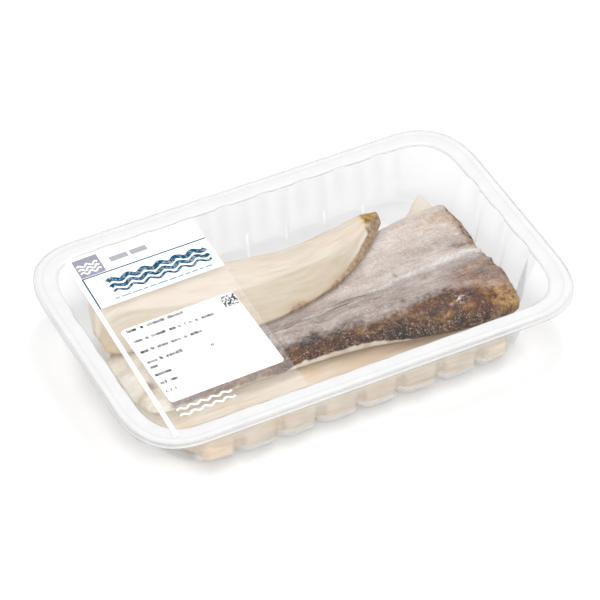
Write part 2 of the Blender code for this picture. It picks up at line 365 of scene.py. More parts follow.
def make_piece(name, points, faces, material, nodes=(), fields=None, smooth=True, shades=True):
    """Make a mesh piece of the pack from points in millimetres."""
    mesh = bpy.data.meshes.new(name)
    mesh.from_pydata(np.asarray(points) * MM, [], faces)
    for field, values in (fields or {}).items():
        layer = mesh.attributes.new(field, "FLOAT_VECTOR", "POINT")
        layer.data.foreach_set("vector", np.asarray(values, np.float32).ravel())
    bm = bmesh.new()
    bm.from_mesh(mesh)
    bmesh.ops.recalc_face_normals(bm, faces=bm.faces)
    bm.to_mesh(mesh)
    bm.free()
    if smooth:
        mesh.shade_smooth()
    mesh.materials.append(material)
    piece = bpy.data.objects.new(name, mesh)
    bpy.context.scene.collection.objects.link(piece)
    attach(piece, ROOT)
    piece.visible_shadow = shades
    if nodes:
        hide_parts(*nodes)
    return piece


def ring_faces(ring_count, point_count, first_cap=True, last_cap=True):
    """Quads between closed rings of points, with a face over each end."""
    faces = []
    for ring in range(ring_count - 1):
        start, following = ring * point_count, (ring + 1) * point_count
        for a in range(point_count):
            b = (a + 1) % point_count
            faces.append((start + a, start + b, following + b, following + a))
    if first_cap:
        faces.append(tuple(range(point_count))[::-1])
    if last_cap:
        start = (ring_count - 1) * point_count
        faces.append(tuple(range(start, start + point_count)))
    return faces


def thicken(piece, thickness):
    """Give an open piece its thickness, added on its underside."""
    flattest = max(piece.data.polygons, key=lambda face: abs(face.normal.z))
    if flattest.normal.z < 0:
        piece.data.flip_normals()
    sheet = piece.modifiers.new("sheet", "SOLIDIFY")
    sheet.thickness = thickness * MM
    sheet.offset = -1.0


# --- Tray ---------------------------------------------------------------------------------------

TRAY_HALF_LENGTH = 120.8
TRAY_HALF_WIDTH = 77.4
TRAY_WALL = 0.5
FLANGE_TOP = 36.7
FLANGE_WIDTH = 11.2
LIP_DROP = 2.2
CORNER_SQUARENESS = 2.6
LONG_LOBES, LONG_LOBE_PITCH = 8, 21.8
SHORT_LOBES, SHORT_LOBE_PITCH = 3, 25.0
LOBE_STEPS = 18
CORNER_STEPS = 30
RIB_BULGE, RIB_SHARE, RIB_ROUND = 2.0, 0.36, 0.7
LOBE_BULGE, LOBE_SHARE, LOBE_FLATNESS = 2.9, 0.82, 6
WALL_DRAFT = 5.4
WALL_STEPS = 16
FOOT_HEIGHT, FOOT_INSET, FOOT_STEPS = 8.0, 5.0, 8
FOOT_CORNER = (70.0, 31.0)
FOOT_CORNER_RADIUS = 31.5
FIRST_DEPTH = 0.03                   # of the wall's first ring, from 0 at the flange to 1 at the foot
FLOOR_MARGIN = 6.0                   # from the foot's inner edge to where the floor's look begins
# The grey tint is painted shade, strongest by the flange and fading towards the foot
WALL_GREY, WALL_GREY_FADE = 0.33, 0.9    # the grey tint's share by the flange, how much fades below
FOOT_GREY, FLOOR_GREY = 0.1, 0.03
WALL_CLOUD, WALL_CLOUD_FADE, FLOOR_CLOUD = 0.08, 0.03, 0.03
# Painted shade: the grey rises and falls across each flute, as light and dark streaks down the walls
FLUTE_SHADE_SWING = 0.2               # how much the grey rises at grooves and ribs, and falls between
# Painted light: grey taken off the end walls lifts the shade that falls there
RIGHT_END_SHADE_LIFT = 0.3            # how much less grey the right-hand end is than the long walls
END_CLOUD_LOSS = 0.7                 # how much less clouded both end walls are
# Painted light: the front foot is milky white over the shade seen through it
FOOT_PAINTED_LIGHT = 0.22                # of the front wall's foot
CLOUD_COLOUR = (0.73, 0.73, 0.73, 1.0)
# Milky colour of the painted glints and of the front foot's painted light
GLINT_COLOUR = (0.90, 0.90, 0.90, 1.0)
RIM_TINT = (0.94, 0.945, 0.95, 1.0)  # of the clear plastic where it is seen edge on
GREY_TINT = (0.78, 0.785, 0.80, 1.0)
# Painted highlights on the back wall's grooves: a groove's x, and the heights between which it shines
GLINT_HALF = 0.5
GLINTS = ((0.0, 3.0, 17.0), (21.8, 5.5, 12.5), (43.6, 8.0, 14.0), (65.4, 5.0, 11.0))
FILM_INSET = 1.4
FILM_TOP = 37.3

# Rings of the lip and the flange: (inset, how far below the flange's top, clouding, grey). The grey is
# painted shade: a dark line along the lip's lower edge, and fainter lines across the flange.
FLANGE_RINGS = (
    (0.0, LIP_DROP, 0.25, 1.0),
    (0.0, 1.75, 0.3, 1.0),
    (0.0, 1.5, 0.7, 0.2),
    (0.05, 0.8, 0.6, 0.2),
    (0.3, 0.3, 0.3, 0.25),
    (0.8, 0.06, 0.25, 0.4),
    (1.3, 0.0, 0.5, 0.35),
    (2.0, 0.0, 0.9, 0.15),
    (4.0, 0.0, 0.9, 0.1),
    (4.7, 0.0, 0.8, 0.3),
    (5.4, 0.0, 0.9, 0.1),
    (FLANGE_WIDTH - 2.2, 0.0, 0.92, 0.1),
    (FLANGE_WIDTH - 1.2, 0.05, 0.94, 0.05),
    (FLANGE_WIDTH - 0.4, 0.3, 0.8, 0.1),
)


def squircle(angle):
    power = 2 / CORNER_SQUARENESS
    return abs(cos(angle)) ** power, abs(sin(angle)) ** power


def outline_samples():
    """Walk once round the basin: (core point, outward direction, place in its lobe or None)."""
    core_x, core_y = LONG_LOBES * LONG_LOBE_PITCH / 2, SHORT_LOBES * SHORT_LOBE_PITCH / 2
    samples = []
    for quarter in range(4):
        along_x = quarter % 2 == 0
        lobes, pitch = (LONG_LOBES, LONG_LOBE_PITCH) if along_x else (SHORT_LOBES, SHORT_LOBE_PITCH)
        heading = (1, 1, -1, -1)[quarter]
        for step in range(lobes * LOBE_STEPS):
            lobe_place = step % LOBE_STEPS / LOBE_STEPS
            distance = heading * (step / LOBE_STEPS - lobes / 2) * pitch
            if along_x:
                samples.append(((distance, -heading * core_y), (0, -heading), lobe_place))
            else:
                samples.append(((heading * core_x, distance), (heading, 0), lobe_place))
        side_x, side_y = (1, 1, -1, -1)[quarter], (-1, 1, 1, -1)[quarter]
        for step in range(CORNER_STEPS):
            near, far = squircle(step / CORNER_STEPS * pi / 2)
            reach_x, reach_y = (far, near) if along_x else (near, far)
            corner = (core_x * side_x, core_y * side_y)
            samples.append((corner, (reach_x * side_x, reach_y * side_y), None))
    return samples


def outline_point(sample, inset):
    """Where a sample lies on the outline that is drawn in by the inset."""
    (x, y), (toward_x, toward_y), _ = sample
    reach_x = TRAY_HALF_LENGTH - LONG_LOBES * LONG_LOBE_PITCH / 2 - inset
    reach_y = TRAY_HALF_WIDTH - SHORT_LOBES * SHORT_LOBE_PITCH / 2 - inset
    return x + toward_x * reach_x, y + toward_y * reach_y


def lobe_bulge(lobe_place, depth):
    """How far the wall stands out: a narrow rib by the flange, a full flat lobe at the foot."""
    across = np.abs(2 * lobe_place - 1)
    rib = np.maximum(0.0, 1 - (across / RIB_SHARE) ** 2) ** RIB_ROUND
    lobe = np.maximum(0.0, 1 - (across / LOBE_SHARE) ** LOBE_FLATNESS) ** 0.5
    return (1 - depth) * RIB_BULGE * rib + depth * LOBE_BULGE * lobe


def rounded_corner(x, y, inset, depth):
    """Pull a corner point in to the foot's larger radius, the more the deeper it is."""
    away_x, away_y = abs(x) - FOOT_CORNER[0], abs(y) - FOOT_CORNER[1]
    radius = FOOT_CORNER_RADIUS - (inset - FLANGE_WIDTH - WALL_DRAFT * depth)
    distance = hypot(away_x, away_y)
    if min(away_x, away_y) <= 0 or distance <= radius:
        return x, y
    pull = 1 + (radius / distance - 1) * depth
    new_x, new_y = FOOT_CORNER[0] + away_x * pull, FOOT_CORNER[1] + away_y * pull
    return (new_x if x > 0 else -new_x), (new_y if y > 0 else -new_y)


def tray_rings():
    """Rings from the lip's edge to the floor: (inset, height, depth or None, clouding, grey)."""
    rings = [(inset, FLANGE_TOP - drop, None, cloud, grey) for inset, drop, cloud, grey in FLANGE_RINGS]
    wall_height = FLANGE_TOP - FOOT_HEIGHT
    for step in range(1, WALL_STEPS + 1):
        depth = FIRST_DEPTH + (1 - FIRST_DEPTH) * (step - 1) / (WALL_STEPS - 1)
        inset = FLANGE_WIDTH + WALL_DRAFT * depth
        # painted shade, fading towards the foot
        grey = WALL_GREY * (1 - WALL_GREY_FADE * depth ** 3)
        cloud = WALL_CLOUD - WALL_CLOUD_FADE * depth
        rings.append((inset, FLANGE_TOP - wall_height * depth, depth, cloud, grey))
    foot = FLANGE_WIDTH + WALL_DRAFT
    drop = FOOT_HEIGHT - TRAY_WALL
    for step in range(1, FOOT_STEPS + 1):
        angle = step / FOOT_STEPS * pi / 2
        inset = foot + FOOT_INSET * (1 - cos(angle))
        rings.append((inset, FOOT_HEIGHT - drop * sin(angle), 1.0, WALL_CLOUD, FOOT_GREY))
    rings.append((foot + FOOT_INSET + FLOOR_MARGIN, TRAY_WALL, 1.0, FLOOR_CLOUD, FLOOR_GREY))
    return rings


def tray_material():
    """Clear plastic: see-through where the mesh's clouding is 0, milky where it is 1."""
    material, tree = new_tree("clear_tray")
    clouding, grey, glint = three_fields(tree, "clouding")
    streaks = noise(tree, place(tree), 55.0, 3.0)
    uneven = add(tree, "Math", {0: streaks, 1: 0.3, 2: 0.85}, operation="MULTIPLY_ADD").outputs["Value"]
    glancing = add(tree, "LayerWeight", {"Blend": 0.35}).outputs["Facing"]
    glancing = math(tree, "POWER", glancing, 3.0)
    tint = blend(tree, glancing, (0.98, 0.98, 0.982, 1.0), RIM_TINT)
    # Painted shade: the grey darkens the tint. Painted light: a glint clears the tint and whitens the milky
    # part
    tint = blend(tree, grey, tint, GREY_TINT)
    tint = blend(tree, glint, tint, WHITE)
    colour = blend(tree, glint, CLOUD_COLOUR, GLINT_COLOUR)
    milky = principled(tree, {"Base Color": colour, "Roughness": 0.12})
    share = math(tree, "ADD", times(tree, glancing, 0.15), times(tree, clouding, uneven), clamp=True)
    finish(tree, see_through(tree, share, tint, milky))
    return material


def glinting(x, height):
    """Whether a painted highlight lies on the back wall's groove at this place."""
    return any(abs(x - rib) < GLINT_HALF and low < height < high for rib, low, high in GLINTS)


def wall_look(sample, height, cloud, grey):
    """The wall's clouding, grey and glint: clearer at the ends, with a milky foot in front as painted light
    over the shade seen through it, and painted highlights on grooves at the back. The grey is painted
    shade that swings across the flutes; the left end and the front right corner lose all their grey,
    as painted light that lifts their shade."""
    (core_x, _), facing, lobe_place = sample
    shade_lifted = facing[0] < 0 or facing[0] > 0 > facing[1]
    sideways = abs(facing[0])
    dim = grey * (1 - sideways * (1.0 if shade_lifted else RIGHT_END_SHADE_LIFT))
    if lobe_place is not None:
        dim *= 1 + FLUTE_SHADE_SWING * cos(4 * pi * lobe_place)
    if facing == (0, 1) and glinting(core_x, height):
        return 0.0, 0.0, 1.0
    if facing == (0, -1) and height < FOOT_HEIGHT - 1:
        return FOOT_PAINTED_LIGHT, dim, 1.0
    return cloud * (1 - END_CLOUD_LOSS * sideways), dim, 0.0


def tray_piece(name, rings, samples, material, floor, shades):
    """A run of the tray's rings as one closed piece of sheet."""
    points, clouding = [], []
    for inset, height, depth, cloud, grey in rings:
        for sample in samples:
            if depth is None:
                x, y = outline_point(sample, inset)
                look = (cloud, grey, 0.0)
            else:
                bulge = 0.0 if sample[2] is None else lobe_bulge(sample[2], depth)
                x, y = rounded_corner(*outline_point(sample, inset - bulge), inset, depth)
                look = wall_look(sample, height, cloud, grey)
            points.append((x, y, height))
            clouding.append(look)
    faces = ring_faces(len(rings), len(samples), first_cap=False, last_cap=floor)
    piece = make_piece(name, points, faces, material, ["tray"], {"clouding": clouding},
                       shades=shades)
    thicken(piece, TRAY_WALL)


def build_tray():
    """The flange, which casts a soft shadow, and the basin under it, which casts none."""
    samples = outline_samples()
    material = tray_material()
    rings = tray_rings()
    split = next(index for index, ring in enumerate(rings) if ring[2] is not None)
    tray_piece("tray_flange", rings[:split + 1], samples, material, floor=False, shades=True)
    tray_piece("tray_basin", rings[split:], samples, material, floor=True, shades=False)


# --- Film, print and sticker --------------------------------------------------------------------

FILM_RINGS = (1.0, 0.985, 0.97, 0.95, 0.92, 0.88, 0.82, 0.74, 0.64, 0.52, 0.4, 0.28, 0.16, 0.06)
FILM_DIP, DIP_STEEPNESS = 0.1, 6
RIPPLE_LENGTH, RIPPLE_WIDTH = 26.0, 15.0
FILM_SHEET = 0.15
PRINT_BOTTOM = 37.32
PRINT_THICKNESS = 0.03
PRINT_SEAM = 0.05                    # between two fields of print that lie side by side

STICKER_LENGTH, STICKER_WIDTH = 60.6, 55.0
STICKER_CENTRE = (-64.5, -20.3)
STICKER_TURN = radians(1.1)
STICKER_CORNER = 2.0
STICKER_BOTTOM, STICKER_TOP = 37.4, 37.65
INK_THICKNESS = 0.02
INK_BOTTOM = PRINT_BOTTOM + PRINT_THICKNESS + 0.005
MARKS_LIFT = 0.03                    # white marks lie over the coloured ones

# The print's left and right edges, each from its back end to its front end
LEFT_EDGE = ((-98.9, 64.5), (-102.4, -69.0))
RIGHT_EDGE = ((-29.2, 64.5), (-31.2, -65.3))
STRIP_WIDTH = 2.3                    # of the white strip along the left edge
HEADER_FRONT = (25.4, 26.6)          # the header's front edge, at its left and right ends
VEIL_FRONT = -66.5
SQUARE = ((-96.4, 48.9), (-83.0, 49.2), (-82.7, 62.6), (-96.1, 62.2))
BARS = (((-78.2, 55.6), (-68.6, 55.8)), ((-67.2, 55.8), (-58.2, 56.0)))
BAR_WIDTH, RULE_WIDTH = 3.6, 0.8
RULE_Y = 48.4                        # the rule under the header's marks
CRESTS = ((41.6, 2.9), (37.4, 2.4), (33.9, 1.5))    # each wavy crest's y and width
CREST_LEFT, CREST_RIGHT, CREST_HEIGHT, CREST_WAVES = -86.0, -33.0, 1.1, 6.0
DASHES_START, DASHES_END, DASHES_Y, DASHES_SLOPE = -87.5, -38.0, 28.9, 0.012
DASH_GAP = 0.9
VEIL_STRENGTH = 0.06


def film_material():
    material, tree = new_tree("lid_film")
    creases = bumped(tree, streaked(tree, place(tree), (30.0, 90.0, 30.0), 3.0), 0.12, 0.001)
    glancing = add(tree, "LayerWeight", {"Blend": 0.5, "Normal": creases}).outputs["Facing"]
    gloss = principled(tree, {"Base Color": (0.9, 0.9, 0.9, 1.0), "Roughness": 0.08, "Normal": creases})
    share = times(tree, math(tree, "POWER", glancing, 3.0), 0.3)
    finish(tree, see_through(tree, share, (0.985, 0.985, 0.985, 1.0), gloss))
    return material


def build_film():
    samples = outline_samples()
    outline = np.array([outline_point(sample, FILM_INSET) for sample in samples])
    points = []
    for share in FILM_RINGS:
        ring = outline * share
        inward = min(1.0, (1 - share) * DIP_STEEPNESS)
        ripple = waves(ring[:, 0] / RIPPLE_LENGTH, ring[:, 1] / RIPPLE_WIDTH, 3) * 0.5 - 0.5
        height = FILM_TOP + FILM_DIP * inward * ripple
        points.append(np.column_stack([ring, height]))
    faces = ring_faces(len(FILM_RINGS), len(samples), first_cap=False)
    film = make_piece("film_clear", np.concatenate(points), faces, film_material(),
                      ["lid_film"], shades=False)
    thicken(film, FILM_SHEET)


def ink(red, green, blue):
    """The colour of print that looks like this on screen in the studio's light."""
    return (*(value / PRINT_LEVEL for value in srgb(red, green, blue)[:3]), 1.0)


def printed(name, colour, wear=0.0, veil=1.0):
    """Flat ink. Wear lets specks of white through, and a veil under 1 is see-through ink."""
    material, tree = new_tree(name)
    if wear:
        grain = noise(tree, place(tree), 900.0, 3.0)
        specks = levels(tree, grain, (0.5 - 0.22 * wear, 1), (0.54 - 0.2 * wear, 0))
        colour = blend(tree, times(tree, specks, wear), colour, srgb(250, 251, 252))
    layer = principled(tree, {"Base Color": colour, "Roughness": 0.35, "Specular IOR Level": 0.05})
    if veil < 1.0:
        layer = see_through(tree, veil, WHITE, layer)
    finish(tree, layer)
    return material


def plates(name, outlines, bottom, thickness, material, nodes=()):
    """Flat closed plates of the outlines, joined as one piece."""
    points, faces = [], []
    for outline in outlines:
        start, count = len(points), len(outline)
        points += [(x, y, bottom) for x, y in outline]
        points += [(x, y, bottom + thickness) for x, y in outline]
        faces += [(start + a, start + (a + 1) % count, start + count + (a + 1) % count, start + count + a)
                  for a in range(count)]
        faces.append(tuple(range(start, start + count))[::-1])
        faces.append(tuple(range(start + count, start + 2 * count)))
    return make_piece(name, points, faces, material, nodes, smooth=False, shades=False)


def band(points, width):
    """The outline of a band of even width along a polyline."""
    line = np.array(points, float)
    heading = np.gradient(line, axis=0)
    heading /= np.linalg.norm(heading, axis=1)[:, None]
    side = np.column_stack([-heading[:, 1], heading[:, 0]]) * width / 2
    return [tuple(p) for p in np.concatenate([line + side, (line - side)[::-1]])]


def wavy_line(start, end, height, count, steps=40):
    """A sine line of so many waves between two points."""
    along = np.linspace(0, 1, steps)
    start, end = np.array(start), np.array(end)
    run = end - start
    normal = np.array([-run[1], run[0]]) / np.hypot(*run)
    line = start + along[:, None] * run + np.sin(along * count * 2 * pi)[:, None] * normal * height
    return [tuple(p) for p in line]


def print_x(y, left=True):
    """X of the print's left or right edge at a y."""
    back, front = LEFT_EDGE if left else RIGHT_EDGE
    share = (back[1] - y) / (back[1] - front[1])
    return back[0] + (front[0] - back[0]) * share


def ornament(name, outlines, material, lift=0.0):
    """Plates of ink on the print."""
    plates(name, outlines, INK_BOTTOM + lift, INK_THICKNESS, material)


def build_print():
    """The film's printed end: a white header and strip, a pale veil, and plain blue ornament."""
    top, front = LEFT_EDGE[0][1], LEFT_EDGE[1][1]
    left_y, right_y = HEADER_FRONT
    header = [
        (print_x(top), top), (print_x(top, False), top), (print_x(right_y, False), right_y),
        (print_x(left_y), left_y),
    ]
    strip = [
        (print_x(left_y), left_y - 0.01), (print_x(front), front), (print_x(front) + STRIP_WIDTH, front),
        (print_x(left_y) + STRIP_WIDTH, left_y - 0.01),
    ]
    white = printed("print_white", srgb(254, 254, 255))
    plates("print_field", [header, strip], PRINT_BOTTOM, PRINT_THICKNESS, white)
    veil_back = left_y - PRINT_SEAM
    veil = [
        (print_x(veil_back) + STRIP_WIDTH + 0.03, veil_back),
        (print_x(VEIL_FRONT) + STRIP_WIDTH + 0.03, VEIL_FRONT),
        (print_x(VEIL_FRONT, False), VEIL_FRONT), (print_x(right_y, False), right_y - PRINT_SEAM),
    ]
    plates("print_veil", [veil], PRINT_BOTTOM, PRINT_THICKNESS,
           printed("print_veil", srgb(250, 248, 247), veil=VEIL_STRENGTH))
    slate = printed("print_slate", ink(166, 165, 184))
    ornament("print_square", [SQUARE], slate)
    teal = printed("print_teal", ink(0, 84, 122), wear=0.3)
    ornament("print_rules", [
        band([(-96.4, RULE_Y - 0.2), (print_x(48, False), RULE_Y + 0.4)], RULE_WIDTH),
        band([(-96.3, RULE_Y), (-97.0, left_y)], RULE_WIDTH),
    ], printed("print_rule", ink(8, 86, 124)))
    crests = []
    for y, width in CRESTS:
        line = wavy_line((CREST_LEFT, y - 0.3), (CREST_RIGHT, y + 0.5), CREST_HEIGHT, CREST_WAVES, 120)
        crests.append(band(line, width))
    ornament("print_crests", crests, teal)
    bars = [band(line, BAR_WIDTH) for line in BARS]
    ornament("print_bars", bars, printed("print_grey", ink(188, 187, 194)))
    dashes = []
    x = DASHES_START
    while x <= DASHES_END:
        length = 1.6 + 4.2 * chance(len(dashes), 5, 2)
        dashes.append(band([(end, DASHES_Y + (end + 87) * DASHES_SLOPE) for end in (x, x + length)], 1.0))
        x += length + DASH_GAP
    ornament("print_dashes", dashes, printed("print_pale", ink(150, 178, 194)))
    marks = [band(wavy_line((-94.0, y), (-65.0, y + 1.0), 0.7, 5.0, 80), 1.1) for y in (-54.2, -58.2)]
    marks += [band(wavy_line((-95.2, y), (-84.2, y + 0.4), 0.9, 2.5), 1.0) for y in (54.4, 57.0, 51.8)]
    ornament("print_marks", marks, white, MARKS_LIFT)


def on_sticker(x, y):
    """A place on the sticker, from its centre, as x and y in the pack."""
    turned_x = x * cos(STICKER_TURN) - y * sin(STICKER_TURN)
    turned_y = x * sin(STICKER_TURN) + y * cos(STICKER_TURN)
    return STICKER_CENTRE[0] + turned_x, STICKER_CENTRE[1] + turned_y


def sticker_box(x, y, length, width):
    """A small rectangle on the sticker."""
    corners = ((0, 0), (1, 0), (1, 1), (0, 1))
    return [on_sticker(x + right * length, y + up * width) for right, up in corners]


# Rows of greeked text on the sticker: (left, baseline) from its centre, the words' lengths
STICKER_ROWS = (
    ((-27.8, 24.4), (6.0, 2.2, 10.0, 9.4)),
    ((-27.6, 16.6), (4.6, 2.2, 8.4, 3.6, 2.2, 1.2, 2.2, 2.2, 7.0)),
    ((-28.1, 8.6), (4.4, 2.2, 6.2, 5.6, 2.2, 6.6)),
    ((-28.3, 0.8), (5.4, 2.2, 9.4)),
    ((-28.6, -2.9), (4.4,)),
    ((-28.8, -8.6), (9.4,)),
    ((-29.0, -14.6), (4.0, 4.6)),
    ((-29.0, -20.6), (1.2, 1.2, 1.2)),
    ((4.0, -2.4), (1.8,)),
)
STROKE_PITCH, STROKE_WIDTH, STROKE_HEIGHT, WORD_GAP = 0.86, 0.52, 1.8, 1.2
TALL_STROKE = 1.35
CODE_PLACE, CODE_SIZE, CODE_CELLS = (22.4, 18.4), 7.7, 13
CODE_WHITE = 0.38                    # the share of the code square that is left white
CODE_FILL = 0.97                     # of a cell's side


def greeked_strokes():
    """Short upright strokes in groups, which stand for words without being letters."""
    outlines = []
    for row, ((x, baseline), lengths) in enumerate(STICKER_ROWS):
        for length in lengths:
            for stroke in range(max(1, int(length / STROKE_PITCH))):
                left = x + stroke * STROKE_PITCH
                draw = chance(int(left * 40) + 9000, row, 5)
                height = STROKE_HEIGHT * (TALL_STROKE if draw > 0.8 else 1.0)
                width = STROKE_WIDTH * (0.8 + 0.8 * chance(int(left * 40) + 9000, row, 6))
                outlines.append(sticker_box(left, baseline, width, height))
            x += length + WORD_GAP
    return outlines


def code_cells():
    """A square of chance cells, which encodes nothing."""
    cell = CODE_SIZE / CODE_CELLS
    outlines = []
    for column in range(CODE_CELLS):
        for row in range(CODE_CELLS):
            if chance(column, row, 31) > CODE_WHITE:
                x, y = CODE_PLACE[0] + column * cell, CODE_PLACE[1] + row * cell
                outlines.append(sticker_box(x, y, cell * CODE_FILL, cell * CODE_FILL))
    return outlines


def build_sticker():
    outline = []
    half_x, half_y = STICKER_LENGTH / 2 - STICKER_CORNER, STICKER_WIDTH / 2 - STICKER_CORNER
    for corner, (side_x, side_y) in enumerate(((1, 1), (-1, 1), (-1, -1), (1, -1))):
        for step in range(9):
            angle = (corner + step / 8) * pi / 2
            outline.append(on_sticker(side_x * half_x + STICKER_CORNER * cos(angle),
                                      side_y * half_y + STICKER_CORNER * sin(angle)))
    material, tree = new_tree("sticker_paper")
    fibres = noise(tree, place(tree), 1500.0, 4.0)
    base = ramp(tree, fibres, [(0.3, srgb(249, 250, 251)), (0.7, srgb(254, 254, 255))])
    finish(tree, principled(tree, {
        "Base Color": base, "Roughness": 0.4, "Normal": bumped(tree, fibres, 0.1, 0.0002),
    }))
    plates("sticker", [outline], STICKER_BOTTOM, STICKER_TOP - STICKER_BOTTOM, material,
           ["price_sticker"])
    ink_bottom = STICKER_TOP + 0.003
    black = printed("sticker_ink", ink(40, 42, 50), wear=0.1)
    plates("sticker_strokes", greeked_strokes(), ink_bottom, INK_THICKNESS, black)
    plates("sticker_code", code_cells(), ink_bottom, INK_THICKNESS, black)


# --- Fish ---------------------------------------------------------------------------------------

LOWER_FLOOR = 0.8
SKIN_FLOOR = 22.4
TOP_FLOOR = 26.5
LOWER_UNDERCUT = 6.5
UPPER_UNDERCUT = 1.0
UNDERCUT_RUN = 22.0                  # how far from its ends a fillet is undercut lengthwise too
SIDE_TUCK = 0.8                      # the share of a side's height over which it tucks in
SIDE_ROUND = 2.2
SECTION_STEPS, SIDE_STEPS = 400, 12
END_CROWDING = 0.25                  # how much closer together the rings are at the ends
FLAP_EDGE_DROP, FLAP_EDGE_SHARPNESS = 0.5, 6
STRIP_FACE_ROUND = 1.55
STRIP_TOP_FLATNESS, STRIP_TOP_ROUND = 3.2, 0.6
CAP_SHARES = (0.12, 0.3, 0.48, 0.64, 0.77, 0.87, 0.94, 0.98)

# A station says where a fillet is at one x: (x, front edge y, back edge y, crown's height above the
# underside, crown y, front edge's height, back edge's height, and y where a flap begins)
LOWER_STATIONS = (
    (-100.3, -32, 6, 15, -14, 8, 8),
    (-96.5, -43, 25, 19.5, -10, 8, 9),
    (-78, -55, 42, 21, -7, 9, 9),
    (-50, -58, 42, 21.2, -10, 10, 9),
    (20, -58.5, 38, 21.2, -15, 12, 8),
    (60, -57.5, 33, 21.2, -14, 12, 10),
    (74, -56.5, 35.5, 21.2, -12, 11, 14),
    (90, -50.5, 46.5, 20.8, -8, 10, 19),
    (92.6, -45, 43.5, 19, -6, 8, 15),
)
TOP_STATIONS = (
    (-103, 5, 22, 5, 14, 2.5, 3),
    (-98, 1.5, 38.5, 7.2, 20, 2.5, 4),
    (-88, 0, 46.5, 8.4, 22, 2.5, 4.5),
    (-60, -7, 42, 8.8, 12, 2.5, 5),
    (-25, -11, 33.5, 9, 9, 2.5, 5),
    (5, -6.5, 29, 9, 10.5, 2.5, 5),
    (30, 3.8, 31.5, 9, 14.5, 2.5, 5),
    (48, 17.6, 34, 8.6, 24, 2.5, 5),
    (57, 26.8, 33.5, 6.5, 30.5, 2.5, 3.5),
)
SKIN_STATIONS = (
    (-104, -27, 3, 4, -13, 2, 2.4, -2),
    (-100, -37, 8, 6.8, -18, 2.2, 2.8, -2),
    (-90, -40.5, 14, 8.2, -24, 2.2, 3.2, -2),
    (-40, -41, 20, 9.5, -27, 2.5, 3.4, -12),
    (10, -44, 22, 10.5, -31, 3, 3.4, -6),
    (45, -51.5, 26, 11, -37, 3, 3.4, 4),
    (75, -56, 30.5, 10.8, -40, 3, 3.4, 10),
    (91, -54, 31, 9, -37, 3, 3.2, 6),
    (95, -47, 30.5, 7, -30, 2, 3, 2),
)

# Marks on the fish: (strength, x, y, reach along x, reach along y)
AMBER_MARKS = ((0.7, 38, -39, 16, 4), (0.35, 0, -38, 30, 5), (0.5, 88, -53, 8, 6))
RED_MARKS = (
    (2.3, 83, -31, 13, 9), (0.8, 91, -30, 5, 16), (1.1, 88, -2.5, 7, 3), (0.9, 94, 6, 2.5, 22),
    (0.8, -58, -41, 46, 7), (1.0, -95.5, -27, 4, 4),
)
MAUVE_MARKS = ((1.0, 72, 4, 26, 6), (0.5, 20, -2, 30, 6))
TONE_MARKS = (
    (0.6, 91, -46, 9, 10), (0.15, 87, -54, 7, 5), (-0.22, 54, -41, 14, 6), (-0.2, -19, -34, 11, 6),
    (0.22, 23, -38, 13, 6),
)
SMUDGES = ((1.0, 12, -22.5, 11, 1.6), (1.0, 29, -22, 7, 1), (1.0, 9, -8, 6, 1.4))
# Painted highlights where wet pools lie on the skin
WET_HIGHLIGHT_POOLS = ((1.0, -21, -20.5, 8, 2), (1.0, -1, -16.5, 5, 1.4))
NICKS = ((1.0, 38.5, -31.5, 1.2, 1.6), (1.0, 46.5, -8.8, 0.7, 1.8))
LOWER_AMBER_MARKS = ((0.35, -76, -58, 10, 6), (0.45, -88, -47, 5, 4), (0.4, -100, -35, 5, 6))

# Lines on the skin, as y at some x
LATERAL_LINE = (
    (-95, -16), (-40, -14), (0, -11), (20, -11.5), (30, -14), (38, -14.5), (50, -12.4), (62, -11.8),
    (71, -10.5), (80, -9.6), (86, -9.0), (95, -11.2),
)
DARK_EDGE = (
    (-99, -20), (-60, -28), (-30, -33), (-18, -32.6), (-8, -31.3), (8, -34.8), (20, -37.2), (29, -38.8),
    (42, -35.2), (57, -34.5), (66, -34.5), (75, -38), (85, -41), (95, -42),
)


def station_at(stations, x):
    """The station at any x, on smooth curves through the ones given."""
    last = len(stations) - 2
    index = next((i for i in range(last + 1) if x <= stations[i + 1][0]), last)
    before, start = stations[max(index - 1, 0)], stations[index]
    end, after = stations[index + 1], stations[min(index + 2, last + 1)]
    span = end[0] - start[0]
    t = (x - start[0]) / span
    rise = t * t * (3 - 2 * t)
    values = []
    for column in range(1, len(start)):
        slope_in = (end[column] - before[column]) / (end[0] - before[0]) * span
        slope_out = (after[column] - start[column]) / (after[0] - start[0]) * span
        values.append(
            start[column] * (1 - rise) + end[column] * rise
            + slope_in * t * (1 - t) ** 2 - slope_out * t * t * (1 - t)
        )
    return values


def shoulder(away):
    """A round shoulder, from 1 at the crown to 0 at the edge."""
    return np.maximum(0.0, 1 - np.clip(away, 0, 1) ** SIDE_ROUND) ** (1 / SIDE_ROUND)


def rounded_height(y, values):
    """Upper side of the lower and the skin-up fillet."""
    front, back, crown, crown_y, front_edge, back_edge, *flap = values
    ahead = front_edge + (crown - front_edge) * shoulder((crown_y - y) / (crown_y - front))
    if flap:
        flap_y = flap[0]
        fall = (1 - np.cos(np.clip((y - crown_y) / (flap_y - crown_y), 0, 1) * pi)) / 2
        outward = np.clip((y - flap_y) / (back - flap_y), 0, 1)
        behind = (crown + (back_edge - crown) * fall) * (1 - FLAP_EDGE_DROP * outward ** FLAP_EDGE_SHARPNESS)
    else:
        behind = back_edge + (crown - back_edge) * shoulder((y - crown_y) / (back - crown_y))
    return np.where(y < crown_y, ahead, behind)


